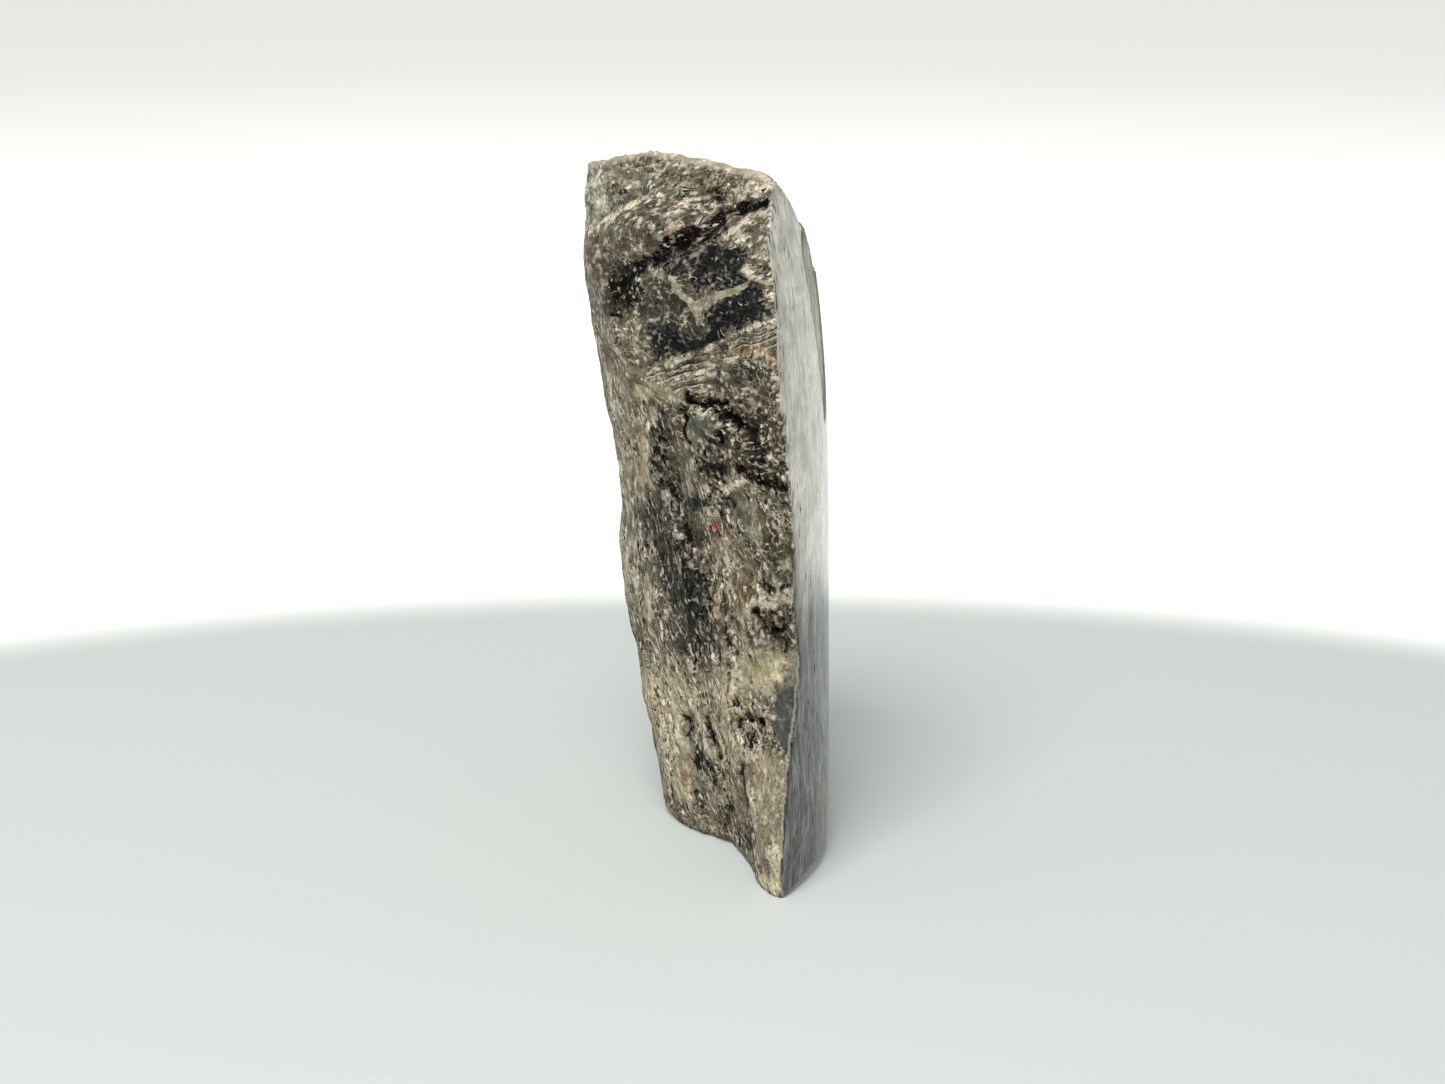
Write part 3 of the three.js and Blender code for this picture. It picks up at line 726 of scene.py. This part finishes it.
# The colours of the polish.
LOW_DARK, LOW_LIGHT = linear(8, 9, 8), linear(98, 99, 92)
HIGH_DARK, HIGH_LIGHT = linear(150, 150, 137), linear(198, 196, 180)
LAMELLA, SCRATCH = linear(146, 149, 142), linear(160, 164, 156)
DEEP_DARK, DEEP_LIGHT = linear(48, 52, 50), linear(84, 88, 82)
BLUE, TEAL, GOLD = linear(28, 74, 136), linear(44, 120, 126), linear(134, 126, 78)
FLAKE_DARK, FLAKE_LIGHT = linear(148, 151, 131), linear(190, 192, 174)
PIT, GROOVE = linear(24, 25, 22), linear(48, 54, 40)


class StoneShader(Shader):
    """The stone's material, with its coordinates in mm and the patterns that run through it."""

    def __init__(self):
        super().__init__("labradorite")
        metres = self.value("ShaderNodeTexCoord", output="Object")
        self.here = self.scaled(metres, 1 / MM)
        self.back, self.up = self.axis(1), self.axis(2)
        # The fibres run steeply below and level above. They change over along a ragged line.
        wavering = self.attribute("high") + 0.6 * (self.noise(self.here, 6.0, 4.0) - 0.5)
        self.change = wavering.rise(0.47, 0.53)
        low, high = self.squeezed(FIBRES_LOW, 2.1), self.squeezed(FIBRES_HIGH, 2.0)
        self.fibres = self.blend(low, high, self.change)

    def axis(self, which):
        return self.value("ShaderNodeSeparateXYZ", None, {"Vector": self.here}, which)

    def squeezed(self, direction, stretch):
        """Coordinates squeezed along a direction, so that a pattern there runs along it."""
        turn = Vector(direction).rotation_difference(Vector((0, 0, 1))).to_euler()
        turned = self.value("ShaderNodeMapping", None, {"Vector": self.here, "Rotation": turn})
        scale = (1, 1, 1 / stretch)
        return self.value("ShaderNodeMapping", None, {"Vector": turned, "Scale": scale})

    def from_middle(self, colour):
        return self.vector("SUBTRACT", colour, (0.5, 0.5, 0.5))

    def shaken(self, at, size, amount):
        """Coordinates pushed about by noise, so that cells there get ragged edges."""
        sockets = {"Vector": self.here, "Scale": 1 / size, "Detail": 4.0}
        push = self.value("ShaderNodeTexNoise", None, sockets, 1)
        return self.vector("ADD", at, self.scaled(self.from_middle(push), amount))

    def cells(self, size, shake):
        """Ragged cells: each one's brightness, its lean and the distance from its middle."""
        at = self.shaken(self.fibres, 1.2 * size, shake * size)
        cell = self.add("ShaderNodeTexVoronoi", None, {"Vector": at, "Scale": 1 / size})
        outputs = (cell.outputs[name] for name in ("Distance", "Color", "Position"))
        distance, colour, middle = (Value(self, output) for output in outputs)
        out = self.vector("SUBTRACT", at, middle)
        lean = self.vector("DOT_PRODUCT", out, self.from_middle(colour), 1) / size
        # The product is one number, because a Math node turns the cell's colour grey.
        brightness = colour * 1.0
        return brightness, lean, distance

    def specks(self, size, above):
        """Small ragged specks, in the cells that are brighter than this."""
        brightness, _, distance = self.cells(size, 1.0)
        return brightness.rise(above, above + 0.04) * distance.rise(0.46, 0.34)

    def layers(self, size, count):
        """Thin sheets broken off one above the other: 0 just below a sheet's edge, 1 on the edge."""
        return (self.noise(self.fibres, size, 2.0, 0.5, 0.9) * count).fraction()

    def arcs(self, size, count):
        """Fine curved lines that run any way."""
        return (self.noise(self.here, size, 1.0, 0.5, 0.4) * (6.28 * count)).sine()


class RockPatterns:
    """What the broken rock's colour and its relief share. A pattern runs from 0 to 1, a lean around 0."""

    def __init__(self, s):
        self.mottle = s.noise(s.here, 3.4, 4.0, 0.6, 0.6).rise(0.3, 0.7)
        self.patches = s.noise(s.fibres, 1.5, 3.0, 0.55, 0.4).rise(0.36, 0.64)
        self.fine = s.noise(s.here, 0.5, 3.0, 0.7, 0.3).rise(0.36, 0.64)
        # Ragged runs from -0.5 to 0.5, and breaks up the painted channels' edges.
        self.ragged = s.noise(s.fibres, 1.5, 6.0, 0.75, 0.5).rise(0.28, 0.72) - 0.5
        self.coarse_flake, self.coarse_lean, _ = s.cells(1.7, 1.1)
        self.fine_flake, self.fine_lean, _ = s.cells(0.8, 1.1)
        self.dark_specks, self.light_specks = s.specks(0.65, 0.6), s.specks(0.8, 0.66)
        self.sheets, self.small_sheets = s.layers(4.2, 6), s.layers(1.7, 5)
        # Past 1 the glassiness is a calm, where the rock is bare and has hardly any flakes.
        glass = s.attribute("glass")
        self.glass, self.calm = glass.or_less(1), glass.rise(1, 2)
        self.rough = (1 - 0.3 * self.glass) * (1 - 0.85 * self.calm)
        # The flakes gather in busy places, more of them low down.
        gathering = s.noise(s.here, 4.5, 3.0, 0.6) + 0.07 * s.up.rise(48, 30)
        self.busy = gathering.rise(0.43, 0.6) * self.rough
        # The sheets' edges, where a painted highlight goes.
        edges = self.sheets.rise(0.8, 0.9) * (0.2 + 0.8 * self.busy)
        edges += 0.8 * self.small_sheets.rise(0.8, 0.92) * self.busy
        self.edges = edges.or_less(1)
        self.dark = (s.attribute(CHARCOAL) + 0.75 * self.ragged).rise(0.44, 0.6)


def bare_rock(s, p):
    """The rock's painted tone, clouded and streaked, with painted light and shade on its flakes, and a
    dark glass where it is charcoal.
    """
    low = s.up.rise(52, 34)
    uneven = 0.8 * (p.mottle - 0.5) + (1.1 - 0.4 * low) * (p.patches - 0.5)
    # The flakes' random brightness and their leans are partly painted light and shade: each facet is lit
    # or shaded as it catches the light, brighter on one side and darker on the other.
    uneven = (uneven + (1.3 - 0.6 * low) * (p.coarse_flake - 0.5)) * (1 - 0.7 * p.calm)
    below = 1 - s.change
    strands = s.noise(s.squeezed(FIBRES_LOW, 6.0), 0.9, 3.0, 0.6, 0.4).rise(0.34, 0.66) * below
    uneven += 0.4 * (strands - 0.5 * below) * (1 - 0.7 * p.calm)
    uneven += (0.7 + 1.2 * p.busy) * (p.fine_flake - 0.5 + p.fine_lean)
    uneven += (0.55 + 0.6 * p.busy) * (p.fine - 0.5)
    uneven += (1.2 - 0.4 * low) * p.coarse_lean * p.rough
    hue = s.noise(s.here, 2.6, 3.0, 0.6, 0.5).rise(0.36, 0.64)
    tinted = s.vector("MULTIPLY", s.attribute("tone", "Color"), s.blend(COOL, WARM, hue))
    rock = s.scaled(tinted, 0.86 * 2**uneven)
    rock = s.blend(rock, BRIGHTEST, 0.7 * uneven.rise(0.3, 1.3))
    rock = s.scaled(rock, 1 - 0.45 * s.attribute(CHARCOAL))
    glassy = s.scaled(s.blend(GLASS_DARK, GLASS_LIGHT, p.fine), 0.45 + 0.6 * p.coarse_flake)
    return s.blend(rock, glassy, p.dark)


def flaked(s, p, rock):
    """The rock with its thin broken sheets, painted shade below their edges and painted highlights on
    them, its hair-fine lines, and its specks, the light ones painted glints.
    """
    light = 1 - 0.75 * p.dark
    # Painted shade just below each sheet's edge, and a painted highlight on the edge.
    shade = p.sheets.rise(0.22, 0.04) * (0.3 + 0.7 * p.busy)
    shade += 0.7 * p.small_sheets.rise(0.24, 0.04) * p.busy
    rock = s.blend(rock, SHEET_SHADE, 0.95 * shade.or_less(1) * p.rough)
    rock = s.blend(rock, SHEET_EDGE_HIGHLIGHT, 0.8 * light * p.edges * p.rough)
    hairs = s.arcs(2.0, 3).rise(0.9, 1.0) * s.noise(s.here, 1.4, 2.0).rise(0.54, 0.62)
    rock = s.blend(rock, HAIR, (0.9 - 0.3 * p.dark) * hairs * (1 - p.calm))
    rock = s.blend(rock, DARK_SPECK, 0.95 * p.dark_specks * (0.2 + 0.75 * p.busy) * p.rough)
    # The light specks are painted glints.
    bright = 0.95 * p.light_specks * (0.4 + 0.6 * p.busy) * light * p.rough
    return s.blend(rock, SPECK_GLINT, bright)


def marked(s, p, rock):
    """The rock with its cream flakes, partly painted highlights, its veins, its seams and its black
    crevices, partly painted shade.
    """
    # The cream is partly the flakes' own colour and partly a painted highlight where they catch the light.
    cream = (s.attribute(CREAM) + 0.9 * p.ragged).rise(0.4, 0.54)
    rock = s.blend(rock, CREAM_FLAKE_AND_HIGHLIGHT, 0.9 * cream * (0.35 + 0.65 * p.fine))
    vein = (s.attribute(VEIN) + 0.14 * p.ragged).rise(0.36, 0.46)
    rock = s.blend(rock, s.blend(VEIN_DARK, VEIN_LIGHT, 0.5 * p.patches + 0.5 * p.fine), vein)
    # Between the seams the sheets stand on edge, as fine light and dark lines.
    across = s.vector("DOT_PRODUCT", s.here, ACROSS_SEAMS, 1)
    on_edge = (across / SEAM_GAP + 1.6 * s.noise(s.here, 5.0, 3.0)).fraction()
    seams = s.attribute(SEAMS).rise(0.3, 0.6) * s.noise(s.fibres, 2.2, 3.0).rise(0.36, 0.5)
    rock = s.blend(rock, SEAM_DARK, 0.8 * seams * on_edge.rise(0.35, 0.1))
    rock = s.blend(rock, SEAM_LIGHT, 0.75 * seams * on_edge.rise(0.72, 0.92))
    # The black is partly a dark mineral and partly painted shade in the crevices and under the overhangs.
    black = (s.attribute(BLACK) + 1.1 * p.ragged + 0.3 * (p.fine - 0.5)).rise(0.42, 0.54)
    spared = (0.15 + 0.5 * p.busy) * p.light_specks + 0.35 * p.edges
    return s.blend(rock, PITCH_AND_SHADE, black * (1 - spared))


def shaded(s, p, rock):
    """The rock, with painted shade in its hollows, painted highlights on its crests, and a painted
    highlight along the rim low beside the polish.
    """
    hollow = s.attribute("hollow")
    # Painted shade in the hollows and painted highlights on the crests.
    rock = s.blend(rock, HOLLOW_SHADE, 0.85 * hollow.rise(0.2, 0.9))
    rock = s.blend(rock, CREST_HIGHLIGHT, 0.55 * hollow.rise(-0.4, -1.0) * p.rough)
    grain = s.noise(s.squeezed(UPRIGHT, 14.0), 0.45, 4.0, 0.75).rise(0.36, 0.64)
    rock = s.scaled(rock, 1 + 0.5 * p.calm * (grain - 0.5))
    # A painted highlight along the rim, low beside the polish.
    rim = s.attribute("from_face").rise(0.75, 0.45) * s.up.rise(44, 36)
    return s.blend(rock, RIM_HIGHLIGHT, 0.5 * rim)


def broken_rock(s):
    p = RockPatterns(s)
    colour = shaded(s, p, marked(s, p, flaked(s, p, bare_rock(s, p))))
    height = 0.2 * p.mottle + 0.5 * p.coarse_lean + 0.25 * p.fine_lean + 0.1 * p.ragged
    height += 0.1 * p.fine + 0.35 * p.sheets + 0.15 * p.small_sheets
    height += 0.15 * p.light_specks - 0.15 * p.dark_specks
    bump = s.bump(0.9, height * (1 - 0.5 * p.glass) * (1 - 0.9 * p.calm))
    roughness = 0.8 - 0.4 * p.glass + 0.2 * (p.fine_flake - 0.5)
    sockets = {"Base Color": colour, "Roughness": roughness, "Normal": bump}
    return s.surface(0.05, IOR=FELDSPAR_IOR, **sockets)


class PolishPatterns:
    """What the polish's colour, coat and relief share. A pattern runs from 0 to 1."""

    def __init__(self, s):
        upright = s.squeezed(UPRIGHT, 14.0)
        self.lamellae = s.noise(upright, 0.9, 4.0, 0.75).rise(0.36, 0.64)
        self.bands = s.noise(upright, 2.4, 3.0, 0.6).rise(0.35, 0.65)
        self.clouds = s.noise(s.here, 7.0, 5.0, 0.65, 0.5).rise(0.35, 0.65)
        self.blotches = s.noise(s.here, 2.6, 4.0, 0.65, 0.4).rise(0.36, 0.64)
        self.streaks = 0.45 * self.lamellae + 0.3 * self.bands + 0.25 * self.blotches
        # Drift runs from -0.5 to 0.5, and shifts the borders between the colours.
        self.drift = s.noise(s.here, 16.0, 4.0, 0.6, 0.8) - 0.5
        # Above is where the polish turns pale: partly its own colour, and partly a painted reflection,
        # bright above and dark below.
        self.above = (s.up + 40 * self.drift).rise(36, 58)
        self.pits = s.noise(s.squeezed(UPRIGHT, 7.0), 0.6, 3.0, 0.6).rise(0.35, 0.31)
        self.flake = s.attribute("flake_depth").rise(0.02, 0.12)


def silvery_front(s, p):
    """Silvery feldspar, streaked and scratched: dark low down and pale above, partly its own colour and
    partly a painted reflection.
    """
    low = s.blend(LOW_DARK, LOW_LIGHT, 0.3 * p.clouds + 0.3 * p.blotches + 0.4 * p.bands)
    low = s.blend(low, LAMELLA, 0.5 * p.lamellae.rise(0.6, 0.9))
    silvery = s.blend(low, s.blend(HIGH_DARK, HIGH_LIGHT, p.clouds), p.above)
    # It brightens above and towards the dome's top, partly a painted reflection.
    brightness = 0.42 + 0.85 * p.streaks + 0.1 * p.above + 0.12 * s.up.rise(70, 108)
    scratches = s.noise(s.squeezed(SLANT, 30.0), 0.5, 2.0, 0.5).rise(0.6, 0.7)
    return s.blend(s.scaled(silvery, brightness), SCRATCH, (0.45 - 0.25 * p.above) * scratches)


def play_of_colours(s, p):
    """Dark stone with a muted play of blue, teal and gold, a painted sheen, cut by slanting twin lamellae.
    """
    order = s.noise(s.here, 13.0, 2.0, 0.5, 0.8)
    play = s.blend(s.blend(BLUE, TEAL, order.rise(0.38, 0.5)), GOLD, order.rise(0.52, 0.62))
    twins = s.noise(s.squeezed(SLANT, 40.0), 0.7, 2.0, 0.5).rise(0.4, 0.6)
    lit = s.noise(s.here, 18.0, 3.0, 0.5, 1.0).rise(0.42, 0.58) * (0.35 + 0.65 * twins)
    deep = s.blend(s.blend(DEEP_DARK, DEEP_LIGHT, p.clouds), play, 0.75 * lit)
    return s.scaled(deep, 0.8 + 0.4 * p.streaks)


def worn(s, p, worked):
    """The polish with its duller, greener flake, its pits, its straight cracks and its nicked rim."""
    flake_colour = s.scaled(s.blend(FLAKE_DARK, FLAKE_LIGHT, p.clouds), 0.55 + 0.9 * p.lamellae)
    worked = s.blend(worked, flake_colour, p.flake)
    near_rim = s.attribute("rim").rise(3.5, 0.8)
    nicks = s.noise(s.squeezed(NICKS_RUN, 9.0), 0.45, 3.0, 0.7).rise(0.53, 0.6) * near_rim
    long_lines = s.noise(s.squeezed(UPRIGHT, 30.0), 0.9, 1.0, 0.5).rise(0.64, 0.7)
    cracks = long_lines * s.noise(s.here, 7.0, 3.0).rise(0.44, 0.52)
    wear = 0.85 * p.pits + 0.85 * nicks + 0.75 * cracks
    worked = s.blend(worked, PIT, wear.or_less(1))
    groove = p.flake * s.attribute("flake_depth").rise(0.5, 0.2)
    return s.blend(worked, GROOVE, 0.8 * groove)


def polished_face(s):
    p = PolishPatterns(s)
    behind = (s.back + 34 * p.drift - 0.12 * s.up).rise(*PLAY_STARTS)
    colour = worn(s, p, s.blend(silvery_front(s, p), play_of_colours(s, p), behind))
    bump = s.bump(0.3, 0.08 * p.lamellae - 0.35 * p.pits - 0.03 * p.clouds)
    roughness = 0.16 + 0.16 * p.lamellae + 0.4 * p.pits + 0.35 * p.flake
    sockets = {"Base Color": colour, "Roughness": roughness, "Normal": bump}
    # The coat is strongest on the streaks, and missing in the pits and on the flake.
    coat = (0.04 + 0.7 * p.streaks) * (1 - 0.25 * p.above) * (1 - p.pits) * (1 - p.flake)
    sockets |= {"Coat Weight": coat, "Coat Roughness": COAT_ROUGHNESS}
    return s.surface(0.25, IOR=FELDSPAR_IOR, **sockets)


def labradorite():
    """Broken rock, and polish on the worked face."""
    s = StoneShader()
    face = s.attribute("from_face").rise(0.45, 0.15)
    return s.finish(s.mixed(broken_rock(s), polished_face(s), face))


# ---- floor, light and camera ---------------------------------------------------------------

# The pale grey of the floor is a wide round, and turns white past its edge. Metres.
FLOOR_HALF = 6.0
ROUND_MIDDLE = (0, -0.25, 0)
ROUND_EDGE = 0.36, 0.40
FLOOR_NEAR, FLOOR_FAR = linear(185, 190, 186), linear(236, 238, 233)
# The floor glows, more so past the round's edge, and its glow halves between these distances.
GLOW_NEAR, GLOW_FAR = (0.1, 0.103, 0.1), (0.61, 0.6, 0.575)
GLOW_FADES = 1.6, 0.6


def make_floor():
    bm = bmesh.new()
    bmesh.ops.create_grid(bm, x_segments=1, y_segments=1, size=FLOOR_HALF)
    mesh = bpy.data.meshes.new("floor")
    bm.to_mesh(mesh)
    bm.free()
    floor = bpy.data.objects.new("floor", mesh)
    bpy.context.collection.objects.link(floor)
    s = Shader("floor")
    metres = s.value("ShaderNodeTexCoord", output="Object")
    away = s.vector("DISTANCE", metres, ROUND_MIDDLE, 1)
    far = away.rise(*ROUND_EDGE)
    pale = s.blend(FLOOR_NEAR, FLOOR_FAR, far)
    glow = s.blend(GLOW_NEAR, GLOW_FAR, far * (0.5 + 0.5 * away.rise(*GLOW_FADES)))
    sockets = {"Base Color": pale, "Roughness": 0.8, "Emission Color": glow}
    mesh.materials.append(s.finish(s.surface(0.2, **sockets, **{"Emission Strength": 1.0})))


def area_light(name, location, size, power, look_at=(0, 0, 0.06)):
    light = bpy.data.lights.new(name, "AREA")
    light.shape = "SQUARE"
    light.size = size
    light.energy = power
    lamp = bpy.data.objects.new(name, light)
    lamp.location = location
    lamp.rotation_euler = (Vector(look_at) - Vector(location)).to_track_quat("-Z", "Y").to_euler()
    bpy.context.collection.objects.link(lamp)


def light_the_scene():
    world = bpy.data.worlds.new("soft_room")
    world.use_nodes = True
    sky = world.node_tree.nodes["Background"]
    sky.inputs["Color"].default_value = (1, 1, 1, 1)
    sky.inputs["Strength"].default_value = 0.5
    bpy.context.scene.world = world
    area_light("softbox", location=(-0.16, -0.42, 0.82), size=0.42, power=8.0)
    bpy.context.scene.view_settings.view_transform = "Standard"


def place_camera():
    lens = bpy.data.cameras.new("camera")
    lens.sensor_fit = "HORIZONTAL"
    lens.sensor_width = SENSOR
    lens.lens = FOCAL / VIEW_WIDTH * SENSOR
    lens.clip_start = 0.01
    camera = bpy.data.objects.new("camera", lens)
    camera.location = (EYE - TOE_TIP) * MM
    camera.rotation_euler = (math.pi / 2 - LOOK_DOWN, 0, 0)
    bpy.context.collection.objects.link(camera)
    bpy.context.scene.camera = camera


# ---- the scene -----------------------------------------------------------------------------

place_camera()
light_the_scene()
make_floor()

stone = make_stone()
stone.data.materials.clear()
stone.data.materials.append(labradorite())
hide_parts("stone")
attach(stone, "root")
